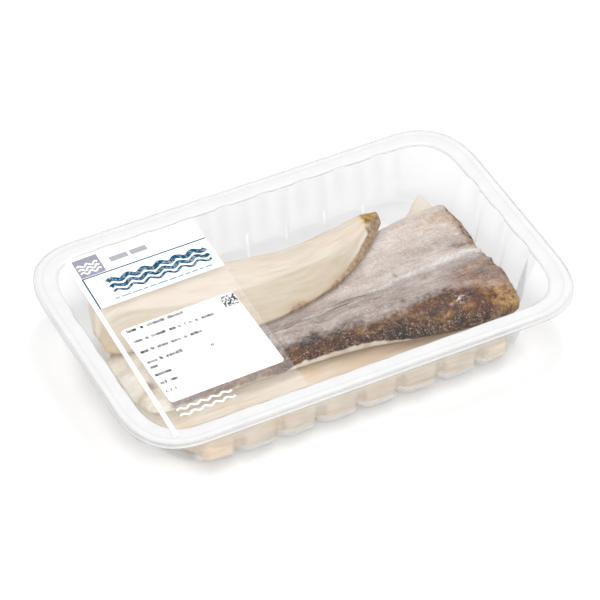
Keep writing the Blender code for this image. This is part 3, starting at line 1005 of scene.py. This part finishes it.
def strip_height(y, values):
    """Upper side of the top strip: a sloping front face, a soft ridge and a nearly flat top."""
    front, back, crown, ridge_y, front_edge, back_edge = values
    t = np.clip((y - front) / (ridge_y - front), 0, 1)
    ahead = front_edge + (crown - front_edge) * (1 - (1 - t) ** STRIP_FACE_ROUND)
    u = np.clip((y - ridge_y) / (back - ridge_y), 0, 1)
    behind = back_edge + (crown - back_edge) * (1 - u ** STRIP_TOP_FLATNESS) ** STRIP_TOP_ROUND
    return np.where(y < ridge_y, ahead, behind)


def section(values, height, floor, undercut, top, under):
    """A section as a closed ring of (y, z, how far drawn in, arc length from the front underside)."""
    front, back = values[:2]
    t = (1 - np.cos(np.linspace(0, pi, SECTION_STEPS))) / 2
    y = front + (back - front) * t
    z = height(y, values)
    shares = np.linspace(0, 1, SIDE_STEPS, endpoint=False)
    drawn = undercut * np.maximum(0.0, 1 - shares / SIDE_TUCK) ** 2
    side_y = np.concatenate([front + drawn, y, (back - drawn)[::-1]])
    side_z = np.concatenate([z[0] * shares, z, (z[-1] * shares)[::-1]])
    side_in = np.concatenate([drawn, np.zeros(SECTION_STEPS), drawn[::-1]])
    arc = np.concatenate([[0], np.cumsum(np.hypot(np.diff(side_y), np.diff(side_z)))])
    even = np.linspace(0, arc[-1], top)
    upper = [np.interp(even, arc, side_y), np.interp(even, arc, side_z), np.interp(even, arc, side_in), even]
    upper = np.column_stack(upper)
    back_share = np.linspace(0, 1, under + 2)[1:-1]
    lower_y = upper[-1, 0] + (upper[0, 0] - upper[-1, 0]) * back_share
    lower = np.column_stack([lower_y, np.zeros(under), np.full(under, undercut), np.zeros(under)])
    ring = np.concatenate([upper, lower])
    ring[:, 1] += floor
    return ring


def loft(stations, height, floor, undercut, count, top, under, bulge):
    """A fillet with rounded cut ends, as so many rings with points on top and under: the rings, arc
    from the front, and end share (1 on the body)."""
    first, last = stations[0][0], stations[-1][0]
    rings, arcs = [], []
    for step in range(count):
        even = 2 * step / (count - 1) - 1
        crowded = even * (1 - END_CROWDING) + sin(even * pi / 2) * END_CROWDING
        x = (first + last) / 2 + (last - first) / 2 * crowded
        ring = section(station_at(stations, x), height, floor, undercut, top, under)
        near_first = max(0.0, 1 - (x - first) / UNDERCUT_RUN)
        near_last = max(0.0, 1 - (last - x) / UNDERCUT_RUN)
        xs = x + ring[:, 2] * (near_first - near_last)
        rings.append(np.column_stack([xs, ring[:, 0], ring[:, 1]]))
        arcs.append(ring[:, 3])
    share = [np.ones(len(arcs[0]))] * count
    for end, outward in ((0, -1), (-1, 1)):
        edge, arc = rings[end], arcs[end]
        centre = edge.mean(0)
        caps = []
        for size in CAP_SHARES:
            ring = centre + (edge - centre) * size
            ring[:, 0] += outward * bulge * (1 - size ** 2) ** 0.5
            caps.append(ring)
        sizes = [np.full(len(arc), size) for size in CAP_SHARES]
        if outward < 0:
            rings, arcs, share = caps + rings, [arc] * len(caps) + arcs, sizes + share
        else:
            rings, arcs, share = rings + caps[::-1], arcs + [arc] * len(caps), share + sizes[::-1]
    return np.array(rings), np.array(arcs), np.array(share)


def outward_normals(rings):
    along = np.gradient(rings, axis=0)
    across = np.roll(rings, -1, axis=1) - np.roll(rings, 1, axis=1)
    normals = np.cross(across, along)
    normals /= np.linalg.norm(normals, axis=2)[:, :, None] + 1e-9
    middle = len(rings) // 2
    towards = rings[middle] - rings[middle].mean(0)
    return normals if (normals[middle] * towards).sum() > 0 else -normals


def build_fillet(name, rings, relief, fields, material, node):
    """Make a fillet, with its fields kept from 0 to 1, apart from the flow of its fibres."""
    rings = rings + outward_normals(rings) * relief[:, :, None]
    faces = ring_faces(rings.shape[0], rings.shape[1])
    flat = {}
    for field, values in fields.items():
        stacked = np.stack(values, axis=-1).reshape(-1, 3)
        flat[field] = stacked if field == "flow" else unit(stacked)
    make_piece(name, rings.reshape(-1, 3), faces, material, [node], flat)


def flesh_material(name, *stops):
    """Cod flesh: soft streaks along the fibres, warm patches, and marks of skin where the mesh says so.

    The mesh's flow runs along the fibres; its marks are (skin, amber patch, pink patch), and its
    shade is (tan towards an edge, painted shade on the sloping face, and pale flesh with painted
    highlights and painted light)."""
    material, tree = new_tree(name)
    flow = mesh_field(tree, "flow")
    skin, amber, pink = three_fields(tree, "marks")
    edge, face, pale_and_painted_light = three_fields(tree, "shade")
    broad = streaked(tree, flow, (1.2, 2.2, 1.0), 3.0, 0.5)
    streak = streaked(tree, flow, (1.5, 8.0, 1.0), 4.0, 0.5)
    fine = streaked(tree, flow, (6.0, 42.0, 1.0), 3.0, 0.5)
    speck = noise(tree, place(tree), 420.0, 4.0, 0.7)
    base = tones(tree, streak, *stops)
    olive = tones(tree, speck, (0.34, 112, 78, 18), (0.5, 176, 140, 66), (0.66, 206, 174, 112))
    base = layered(
        tree, base,
        (levels(tree, broad, (0.42, 0), (0.62, 1)), 1, blend(tree, 0.5, base, seen(235, 219, 202))),
        # Painted shade: the sloping face is laid darker than the top
        (face, 0.85, tones(tree, streak, (0.3, 199, 185, 163), (0.5, 205, 192, 171), (0.7, 211, 200, 181))),
        (edge, 0.7, (198, 173, 141)),
        (pink, 0.5, (226, 198, 178)),
        (math(tree, "MULTIPLY", amber, 2.0, clamp=True), 0.6, (229, 192, 140)),
        # Pale places: paler flesh, painted highlights along edges and ridge, and painted light that lifts
        # shaded flesh
        (pale_and_painted_light, 0.85, (240, 233, 219)),
        (remap(tree, amber, 0.0, 1.0, 0.5), 1, olive),
        (skin, 1, tones(tree, speck, (0.32, 128, 101, 74), (0.5, 170, 144, 116), (0.68, 206, 184, 158))),
        (levels(tree, fine, (0.3, 0.07), (0.6, 0)), 1, (205, 178, 150)),
    )
    height = math(tree, "ADD", times(tree, streak, 0.7), times(tree, fine, 0.4))
    finish(tree, principled(tree, {
        "Base Color": base, "Roughness": 0.38, "Normal": bumped(tree, height, 0.25, 0.0006),
        "Specular IOR Level": 0.3, "Subsurface Weight": 0.12, "Subsurface Radius": (0.004, 0.002, 0.001),
        "Subsurface Scale": 1.0, "Coat Weight": 0.08, "Coat Roughness": 0.2,
    }))
    return material


def scale_pattern(tree, flow, fineness):
    """Cells of scales: how far a point is from its cell's middle, and the cell's chance number."""
    pattern = add(tree, "TexVoronoi", {"Vector": stretch(tree, flow, fineness), "Scale": 1.0})
    chances = add(tree, "SeparateXYZ", {"Vector": pattern.outputs["Color"]})
    return pattern.outputs["Distance"], chances.outputs["X"]


def skin_material():
    """Wet cod skin, from pale belly over the lateral line to the dark speckled back."""
    material, tree = new_tree("cod_skin")
    flow = mesh_field(tree, "flow")
    belly, low, wrinkle = three_fields(tree, "body")
    dark, lateral, amber = three_fields(tree, "zones")
    red, beige, mauve = three_fields(tree, "patches")
    tone, wet_highlight, groove = three_fields(tree, "scales")
    flesh, warm, dots = three_fields(tree, "cut")
    soft = streaked(tree, flow, (1.8, 4.2, 1.0), 5.0)
    hatch = streaked(tree, flow, (3.6, 24.0, 1.0), 3.0)
    cross = streaked(tree, flow, (30.0, 5.0, 1.0), 2.0)
    flecks = streaked(tree, flow, (26.0, 30.0, 26.0), 2.0, 0.5)
    grain = noise(tree, place(tree), 800.0, 4.0, 0.75)
    oval, oval_chance = scale_pattern(tree, flow, (6.5, 8.5, 8.5))
    between, scale_chance = scale_pattern(tree, flow, (15.0, 18.0, 18.0))

    side = layered(
        tree, tones(tree, soft, (0.3, 150, 134, 126), (0.5, 182, 168, 161), (0.7, 208, 197, 192)),
        (belly, 1, tones(tree, soft, (0.3, 206, 189, 177), (0.5, 225, 212, 203), (0.7, 240, 232, 226))),
        (mauve, 0.75, (172, 156, 149)),
        (beige, 0.8, (198, 172, 146)),
        (levels(tree, hatch, (0.34, 0.3), (0.5, 0)), 1, (148, 126, 112)),
        (levels(tree, cross, (0.54, 0), (0.7, 0.45)), belly, (247, 242, 239)),
    )
    ochre = layered(
        tree, tones(tree, tone, (0.0, 88, 50, 0), (0.5, 134, 87, 18), (1.0, 202, 164, 108)),
        (levels(tree, oval, (0.24, 0.65), (0.42, 0)), 1,
         tones(tree, oval_chance, (0.2, 88, 58, 20), (0.5, 140, 100, 26), (0.8, 178, 138, 52))),
    )
    back = layered(
        tree, tones(tree, tone, (0.0, 40, 23, 8), (0.35, 68, 41, 17), (0.7, 92, 62, 34), (1.0, 130, 103, 78)),
        (low, 0.6, tones(tree, tone, (0.0, 54, 38, 30), (0.5, 94, 75, 62), (1.0, 146, 128, 114))),
        (amber, 1, ochre),
        (levels(tree, between, (0.36, 0), (0.62, 0.55)), remap(tree, amber, 1.0, 0.7), (48, 32, 22)),
    )
    # Bare flesh, laid paler than the fillets' flesh: painted light that lifts the shade cast over the left
    # end
    raw_with_painted_light = layered(
        tree, tones(tree, soft, (0.32, 232, 218, 198), (0.5, 244, 235, 221), (0.7, 251, 247, 240)),
        (warm, 0.8, (197, 181, 159)),
    )
    grains = tones(tree, grain, (0.36, 120, 104, 96), (0.5, 190, 180, 174), (0.66, 250, 247, 244))
    # Pale dots over the scales: partly the skin's own speckles, partly painted glints of light on the scales
    speckles_and_glints = times(tree, levels(tree, flecks, (0.5, 0), (0.64, 0.85)),
                      levels(tree, scale_chance, (0.25, 0.05), (0.8, 0.8)))
    base = layered(
        tree, side,
        (dark, 1, back),
        (times(tree, red, 0.95), levels(tree, hatch, (0.4, 1), (0.62, 0.65)),
         tones(tree, tone, (0.0, 84, 46, 22), (0.5, 134, 90, 56), (1.0, 186, 150, 118))),
        (lateral, 1, tones(tree, grain, (0.3, 212, 201, 195), (0.6, 244, 240, 238))),
        (remap(tree, dark, 0.18, 0.03), 1, grains),
        (groove, 0.6, (66, 46, 36)),
        (wrinkle, 0.8, (100, 78, 66)),
        (speckles_and_glints, dots, (194, 175, 157)),
        # Painted highlights where the skin is wet
        (wet_highlight, 1, (246, 243, 240)),
        (flesh, 1, raw_with_painted_light),
    )
    height = math(tree, "ADD", times(tree, hatch, 0.4), times(tree, grain, 0.6))
    finish(tree, principled(tree, {
        "Base Color": base, "Roughness": 0.36, "Normal": bumped(tree, height, 0.4, 0.0005),
        "Specular IOR Level": 0.16, "Coat Weight": 0.06, "Coat Roughness": 0.15,
    }))
    return material


def curve_y(points, x):
    table = np.array(points, float)
    return np.interp(x, table[:, 0], table[:, 1])


def build_skin_up():
    rings, arcs, share = loft(SKIN_STATIONS, rounded_height, SKIN_FLOOR, UPPER_UNDERCUT, count=350, top=180,
                              under=24, bulge=1.2)
    x, y, z = np.moveaxis(rings, 2, 0)
    upper = arcs > 0
    # A ragged right-hand edge
    ragged = rough_waves(y / 5, 3.3, 41) * 1.5 + waves(y / 1.2, 1.7, 42) * 0.8
    ragged = ragged + waves(y / 0.6, 0.7, 43) * 0.7 - 1.8 * bell(y + 8, 20)
    rings[..., 0] += ragged * step_up(82, 95, x) * step_up(-56, -44, y) - step_up(93, 95, x) * 0.6
    # The dark back, the lateral line and the pale belly
    nearest, edge_gap, own = cells(x / 2.1 + arcs * 0.12, arcs / 1.6, 51)
    to_dark = curve_y(DARK_EDGE, x) - y + rough_waves(x / 6, y / 4, 61) * 3
    to_dark = to_dark + waves(x / 1.4, y / 1.2, 60) * 1.6
    dark = step_up(-4, 4, to_dark) * (1 - 0.3 * step_up(-30, -46, x) - 0.3 * step_up(-60, -85, x))
    to_lateral = y - curve_y(LATERAL_LINE, x) + waves(x / 9, 0.4, 62) * 0.7
    lateral = bell(to_lateral, 2.5) * step_up(0, 44, x) * (0.7 + 0.3 * step_up(60, 80, x))
    lateral = lateral * (1.1 + 0.7 * rough_waves(x / 2.5, y / 1.2, 59))
    belly = step_up(-1, 5, to_lateral) * step_up(-60, -10, x)
    low = step_up(-46, -52, y) * step_up(86, 66, x) * step_up(-10, 20, x)
    # Patches of colour
    amber = 1.7 * spot(x, y, 76, -45, 25, 8) * (0.85 + 0.4 * waves(x / 5, y / 5, 63))
    amber = amber + spots(x, y, AMBER_MARKS)
    red = unit(spots(x, y, RED_MARKS) * (0.85 + 0.9 * rough_waves(x / 3, y / 1.5, 64)))
    beige = spot(x, y, 86, 21, 11, 6) * (1 + rough_waves(x / 4, y / 2, 65))
    beige = beige + 0.9 * step_up(87, 93, x) * step_up(-0.2, 0.5, waves(y / 0.9, x / 9, 78))
    mauve = spots(x, y, MAUVE_MARKS) * (1 + rough_waves(x / 6, y / 3, 66))
    tone = 0.45 + 0.35 * (own - 0.5) + 0.75 * rough_waves(x / 6, y / 4, 67) + spots(x, y, TONE_MARKS)
    dots = dark * (1 - 0.85 * unit(amber)) + 0.5 * red + 0.25 * low
    dots = dots * (1 - 0.4 * spot(x, y, -19, -34, 11, 6)) * upper
    # Wrinkles, painted highlights where the skin is wet, and nicks
    folds = bell(to_lateral + 6 + 2.5 * waves(x / 9, 0, 71), 0.55)
    folds = folds + bell(to_lateral + 2.6 + 2 * waves(x / 7, 0, 72), 0.45)
    wrinkle = folds * step_up(40, 26, x) * step_up(-0.3, 0.3, waves(x / 6, y / 3, 73))
    wrinkle = unit(wrinkle + spots(x, y, SMUDGES) * step_up(-0.1, 0.5, rough_waves(x / 5, y / 0.9, 79)))
    wet_highlight = 0.9 * spot(x, y, 63, -43, 5.5, 2.6) * step_up(0, 0.5, rough_waves(x / 1.4, y, 68))
    wet_highlight = wet_highlight + 0.5 * step_up(0.35, 0.6, rough_waves(x / 2.2, y / 1.1, 69)) * step_up(34, 20, x) * (1 - dark)
    wet_highlight = wet_highlight + spots(x, y, WET_HIGHLIGHT_POOLS) * step_up(-0.2, 0.4, rough_waves(x / 3, y / 0.8, 69))
    nick = spots(x, y, NICKS)
    groove = step_up(0.16, 0.04, edge_gap) * 0.35 * dark + nick
    relief = (0.5 - nearest) * (0.06 + 0.1 * dark) * upper + rough_waves(x / 14, y / 9, 70) * 0.35
    relief = relief + lateral * 0.3 - nick * 0.4 - wrinkle * 0.25 + rough_waves(x / 1.3, y / 1.1, 77) * 0.07
    relief = relief * step_up(0, 0.6, share)
    # Bare flesh along the front edge and at the left end
    hem = 4 * step_up(44, 16, x) * step_up(-36, -20, x) + rough_waves(x / 4, 0, 74) * 1.3
    hem = hem + 1.2 * step_up(-60, -84, x)
    fading = step_up(-28, -40, x)
    flesh = step_up(hem + 0.5 + 3.2 * fading, hem - 0.4 + 0.6 * fading, arcs)
    torn = rough_waves(y / 4, 0.2, 75) * 1.6
    flesh = np.maximum(flesh, step_up(-88.5, -91.5, x + torn) - spot(x, y, -95.5, -27, 2.6, 3.4))
    flesh = np.maximum(flesh, step_up(0.96, 0.9, share) * (x < 0))
    warm = 0.5 * step_up(-92, -84, x) + 0.7 * step_up(0, 0.6, rough_waves(x / 6, y / 5, 76))
    fields = {
        "cut": (flesh, warm, dots),
        "flow": (x / 20, y / 20, z / 20),
        "body": (belly, low, wrinkle),
        "zones": (dark, lateral, amber),
        "patches": (red, beige, mauve),
        "scales": (tone, wet_highlight, groove),
    }
    build_fillet("fillet_skin_up", rings, relief, fields, skin_material(), "cod_skin_up")


def build_top_strip():
    rings, arcs, share = loft(TOP_STATIONS, strip_height, TOP_FLOOR, UPPER_UNDERCUT, count=300, top=110,
                              under=16, bulge=1.0)
    x, y, z = np.moveaxis(rings, 2, 0)
    upper = arcs > 0
    xs = np.linspace(TOP_STATIONS[0][0], TOP_STATIONS[-1][0], 120)
    edges = np.array([station_at(TOP_STATIONS, value)[:4] for value in xs])
    front, back, ridge = (np.interp(x, xs, edges[:, column]) for column in (0, 1, 3))
    across = (y - front) / (back - front)
    face = step_up(1.4, -2.2, y - ridge + waves(x / 15, 0, 80) * 0.8) * upper
    # Skin along the front edge and at the right end
    hem = 1.6 * step_up(-16, -8, x) - 0.8 + 7.6 * step_up(-18, 60, x) ** 1.1
    hem = hem + 3.6 * bell(x + 8, 8) + rough_waves(x / 4, 0.5, 81) * 0.7
    hide = step_up(0.6, -0.6, arcs - hem) * upper
    hide = np.maximum(hide, face * step_up(44.8, 46.6, x + rough_waves(y / 3, x / 3, 88) * 0.8))
    hide = np.maximum(hide, step_up(55, 56.4, x + waves(y / 2, 0, 86) * 0.5) * step_up(33.4, 32, z))
    tip = step_up(45.5, 48.5, x + rough_waves(y / 3, x / 3, 87) * 1.8)
    tip = tip * step_up(-3.5, -1, y - ridge + (x - 50) * 0.4) * step_up(30.5, 32.5, z)
    orange = 0.4 * spot(x, y, -102, 8, 4, 9) * step_up(32.5, 28, z)
    near_hem = np.exp(-np.maximum(arcs - hem, 0) / 2.6) * face * step_up(36, 20, x) * 0.8
    # Paler places: a painted highlight along the skin's edge at the tip and along the ridge, and paler flesh
    # on the face by the tip and on the top's left part
    pale_and_painted_light = bell(arcs - hem - 1.4, 1.1) * step_up(26, 42, x) + 0.4 * bell(y - ridge, 1.2) * step_up(-30, 10, x)
    pale_and_painted_light = pale_and_painted_light + 0.3 * face * step_up(20, 46, x) + 0.4 * step_up(-2, -26, x) * (1 - face)
    pink = rough_waves(x / 20, across * 8, 82) * 1.5 * (1 - face)
    relief = rough_waves(x / 16, across * 14, 83) * 0.18 * (1 - 0.6 * face)
    relief = relief + rough_waves(x / 9, y / 5, 84) * 0.22 - bell(arcs - hem, 0.8) * 0.2
    relief = relief * step_up(0, 0.7, share)
    # The shade field: tan towards the skin's edge, the sloping face in painted shade, and the paler places
    # with painted highlights
    fields = {
        "flow": (x / 20, across * 2.2 + 0.25 * np.sin(x / 40), z / 40),
        "marks": (hide, np.maximum(tip, orange), pink),
        "shade": (near_hem, face, unit(pale_and_painted_light) * (1 - hide)),
    }
    material = flesh_material("cod_flesh_top", (0.28, 216, 201, 181), (0.43, 223, 211, 194),
                              (0.56, 229, 219, 204), (0.72, 235, 227, 215))
    build_fillet("fillet_top", rings, relief, fields, material, "cod_top")


PRESS_GAP = 0.9                      # between the pressed flesh and the tray's wall
PRESS_REACH = 12.0                   # how far in from its front the fillet gives way
PRESS_HEIGHT = 7.0                   # below it the side is pressed; above it the top moves along
PRESS_SPAN = (-90.0, -80.0, 78.0, 88.0)    # x where pressing sets in and is full, and where it ends


def wall_y(x, z):
    """Y of the front wall's inner face."""
    depth = unit((FLANGE_TOP - z) / (FLANGE_TOP - FOOT_HEIGHT))
    bulge = lobe_bulge((x / LONG_LOBE_PITCH) % 1.0, depth)
    sine = unit((FOOT_HEIGHT - z) / (FOOT_HEIGHT - TRAY_WALL))
    turn = FOOT_INSET * (1 - np.sqrt(1 - sine ** 2))
    return -(TRAY_HALF_WIDTH - FLANGE_WIDTH - WALL_DRAFT * depth + bulge - turn)


def pressed(rings, undercut):
    """Push the fillet's front side out against the tray's wall."""
    x, y, z = np.moveaxis(rings, 2, 0)
    front = y.min(axis=1)[:, None]
    near = unit(1 - (y - front - undercut * (z < PRESS_HEIGHT)) / PRESS_REACH) ** 1.5
    within = step_up(PRESS_SPAN[0], PRESS_SPAN[1], x) * step_up(PRESS_SPAN[3], PRESS_SPAN[2], x)
    side = np.where(z < PRESS_HEIGHT, y, front)
    rings = rings.copy()
    rings[..., 1] += (wall_y(x, z) + PRESS_GAP - side) * near * within * step_up(-2.0, 6.0, z) * (y < -30)
    return rings


def build_lower():
    rings, arcs, share = loft(LOWER_STATIONS, rounded_height, LOWER_FLOOR, LOWER_UNDERCUT, count=260, top=150,
                              under=40, bulge=1.5)
    rings = pressed(rings, LOWER_UNDERCUT)
    x, y, z = np.moveaxis(rings, 2, 0)
    rings[..., 0] -= 4 * step_up(84, 94, x) * step_up(36, 27, y)
    upper = arcs > 0
    amber = step_up(0.05, 0.75, rough_waves(x / 14 + 2.2, z / 7 + y / 20, 90)) * 0.3
    amber = amber + spots(x, y, LOWER_AMBER_MARKS)
    pink = step_up(0, 0.7, rough_waves(x / 18, z / 8 + y / 14, 91)) * 0.7
    tan = step_up(-62, -45, y) * step_up(-30, -50, y) * (z > 10) * step_up(-30, 10, x)
    corner = spot(x, y, 90, 44, 12, 10)
    flakes = rough_waves(x / 10 + y / 30, (y + z) / 3, 92)
    relief = (flakes * 0.35 + rough_waves(x / 20, y / 12, 93) * 0.6) * step_up(0, 0.7, share) * upper
    # The shade field: tan, a fifth of the face's painted shade over the upper side, and painted light that
    # lifts the shaded left end, with a pale back corner
    fields = {
        "flow": (x / 20, (y + z * 0.8) / 11, z / 30),
        "marks": (x * 0, unit(amber) * (1 - corner), unit(pink + tan * 0.6) * (1 - corner)),
        "shade": (tan, 0.2 * upper, 0.9 * step_up(-86, -96, x) + 0.9 * corner),
    }
    material = flesh_material("cod_flesh_lower", (0.28, 225, 208, 184), (0.45, 236, 224, 204),
                              (0.6, 242, 233, 217), (0.78, 247, 241, 230))
    build_fillet("fillet_lower", rings, relief, fields, material, "cod_lower")


make_camera()
make_studio()
build_tray()
build_film()
build_print()
build_sticker()
build_lower()
build_skin_up()
build_top_strip()
